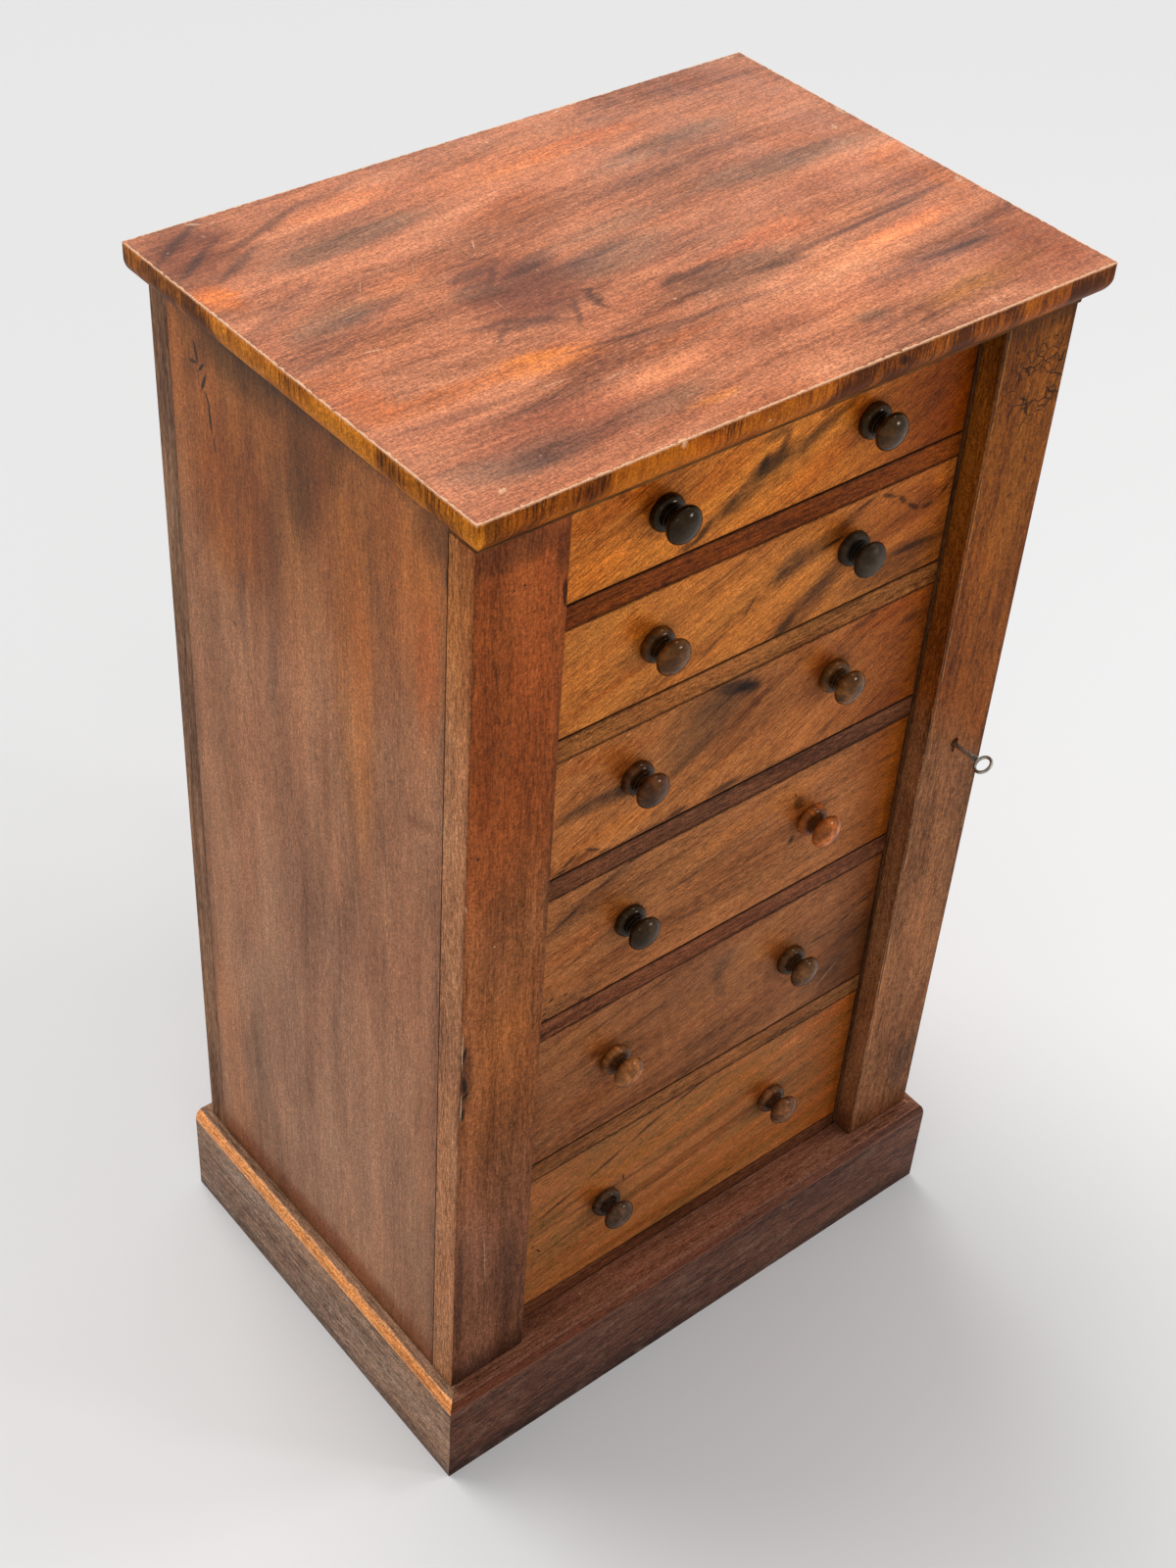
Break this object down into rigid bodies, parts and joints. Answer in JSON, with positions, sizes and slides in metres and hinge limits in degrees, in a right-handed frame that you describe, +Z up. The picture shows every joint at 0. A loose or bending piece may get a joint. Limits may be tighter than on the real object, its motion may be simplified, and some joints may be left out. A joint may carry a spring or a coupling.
{
  "type": "wellington chest",
  "caption": "Narrow veneered chest of graduated drawers with turned knobs, a moulded top and plinth, and a hinged locking flap down its right side.",
  "frame": {"origin": "on the floor under the centre of the whole bounding box, key included", "axes": "+Z up, front faces -Y, +X towards the flap's side (right as seen from the front)"},
  "size_m": [0.56, 0.4232, 1],
  "materials": {
    "top_veneer": "red-brown figured veneer, worn french polish",
    "case_veneer": "brown veneer, worn french polish",
    "front_veneer": "golden-orange figured walnut veneer, french polish",
    "rail_wood": "dark brown veneered edges, polished",
    "knob_wood": "turned dark wood, glossy polish",
    "plinth_veneer": "dark grey-brown veneer, worn polish",
    "inner_wood": "unpolished softwood and oak",
    "hinge_brass": "dull aged brass",
    "grey_steel": "dull grey steel"
  },
  "bodies": {
    "case": {"top_board": "top_veneer", "bed_moulding": "case_veneer", "side_left": "case_veneer", "side_right": "case_veneer", "back_panel": "case_veneer", "left_pilaster": "case_veneer", "hinge_post": "case_veneer", "rail_1": "rail_wood", "rail_2": "rail_wood", "rail_3": "rail_wood", "rail_4": "rail_wood", "rail_5": "rail_wood", "top_rail": "rail_wood", "bottom_board": "rail_wood", "plinth_front": "plinth_veneer", "plinth_left": "plinth_veneer", "plinth_right": "plinth_veneer", "plinth_moulding_front": "plinth_veneer", "plinth_moulding_left": "plinth_veneer", "plinth_moulding_right": "plinth_veneer", "plinth_back": "inner_wood", "hinge_upper_post_leaf": "hinge_brass", "hinge_lower_post_leaf": "hinge_brass", "lock_keep": "hinge_brass"},
    "flap": {"flap": "case_veneer", "hinge_upper_flap_leaf": "hinge_brass", "hinge_lower_flap_leaf": "hinge_brass", "lock_case": "hinge_brass"},
    "lock_bolt": {"lock_bolt": "grey_steel"},
    "key": {"key": "grey_steel"},
    "drawer_1": {"drawer_1_front": "front_veneer", "drawer_1_box": "inner_wood", "drawer_1_bottom": "inner_wood", "drawer_1_knob_left": "knob_wood", "drawer_1_knob_right": "knob_wood"},
    "drawer_2": {"drawer_2_front": "front_veneer", "drawer_2_box": "inner_wood", "drawer_2_bottom": "inner_wood", "drawer_2_knob_left": "knob_wood", "drawer_2_knob_right": "knob_wood"},
    "drawer_3": {"drawer_3_front": "front_veneer", "drawer_3_box": "inner_wood", "drawer_3_bottom": "inner_wood", "drawer_3_knob_left": "knob_wood", "drawer_3_knob_right": "knob_wood"},
    "drawer_4": {"drawer_4_front": "front_veneer", "drawer_4_box": "inner_wood", "drawer_4_bottom": "inner_wood", "drawer_4_knob_left": "knob_wood", "drawer_4_knob_right": "knob_wood"},
    "drawer_5": {"drawer_5_front": "front_veneer", "drawer_5_box": "inner_wood", "drawer_5_bottom": "inner_wood", "drawer_5_knob_left": "knob_wood", "drawer_5_knob_right": "knob_wood"},
    "drawer_6": {"drawer_6_front": "front_veneer", "drawer_6_box": "inner_wood", "drawer_6_bottom": "inner_wood", "drawer_6_knob_left": "knob_wood", "drawer_6_knob_right": "knob_wood"}
  },
  "joints": [
    {"name": "flap_hinge", "type": "hinge", "parent": "case", "child": "flap", "pos_m": [0.2715, -0.1526, 0.534], "axis": [0, 0, 1], "range_deg": [0, 170]},
    {"name": "key_turn", "type": "hinge", "parent": "flap", "child": "key", "pos_m": [0.23085, -0.20415, 0.569], "axis": [0, 1, 0], "range_deg": [-63.1, 116.9]},
    {"name": "bolt_slide", "type": "slide", "parent": "flap", "child": "lock_bolt", "axis": [-1, 0, 0], "range_m": [-0.0032, 0.0059]},
    {"name": "drawer_1_slide", "type": "slide", "parent": "case", "child": "drawer_1", "axis": [0, -1, 0], "range_m": [0, 0.26]},
    {"name": "drawer_2_slide", "type": "slide", "parent": "case", "child": "drawer_2", "axis": [0, -1, 0], "range_m": [0, 0.26]},
    {"name": "drawer_3_slide", "type": "slide", "parent": "case", "child": "drawer_3", "axis": [0, -1, 0], "range_m": [0, 0.26]},
    {"name": "drawer_4_slide", "type": "slide", "parent": "case", "child": "drawer_4", "axis": [0, -1, 0], "range_m": [0, 0.26]},
    {"name": "drawer_5_slide", "type": "slide", "parent": "case", "child": "drawer_5", "axis": [0, -1, 0], "range_m": [0, 0.26]},
    {"name": "drawer_6_slide", "type": "slide", "parent": "case", "child": "drawer_6", "axis": [0, -1, 0], "range_m": [0, 0.26]}
  ],
  "couplings": [
    {"joint": "bolt_slide", "follows": "key_turn", "m_per_rad": 0.0028648}
  ]
}
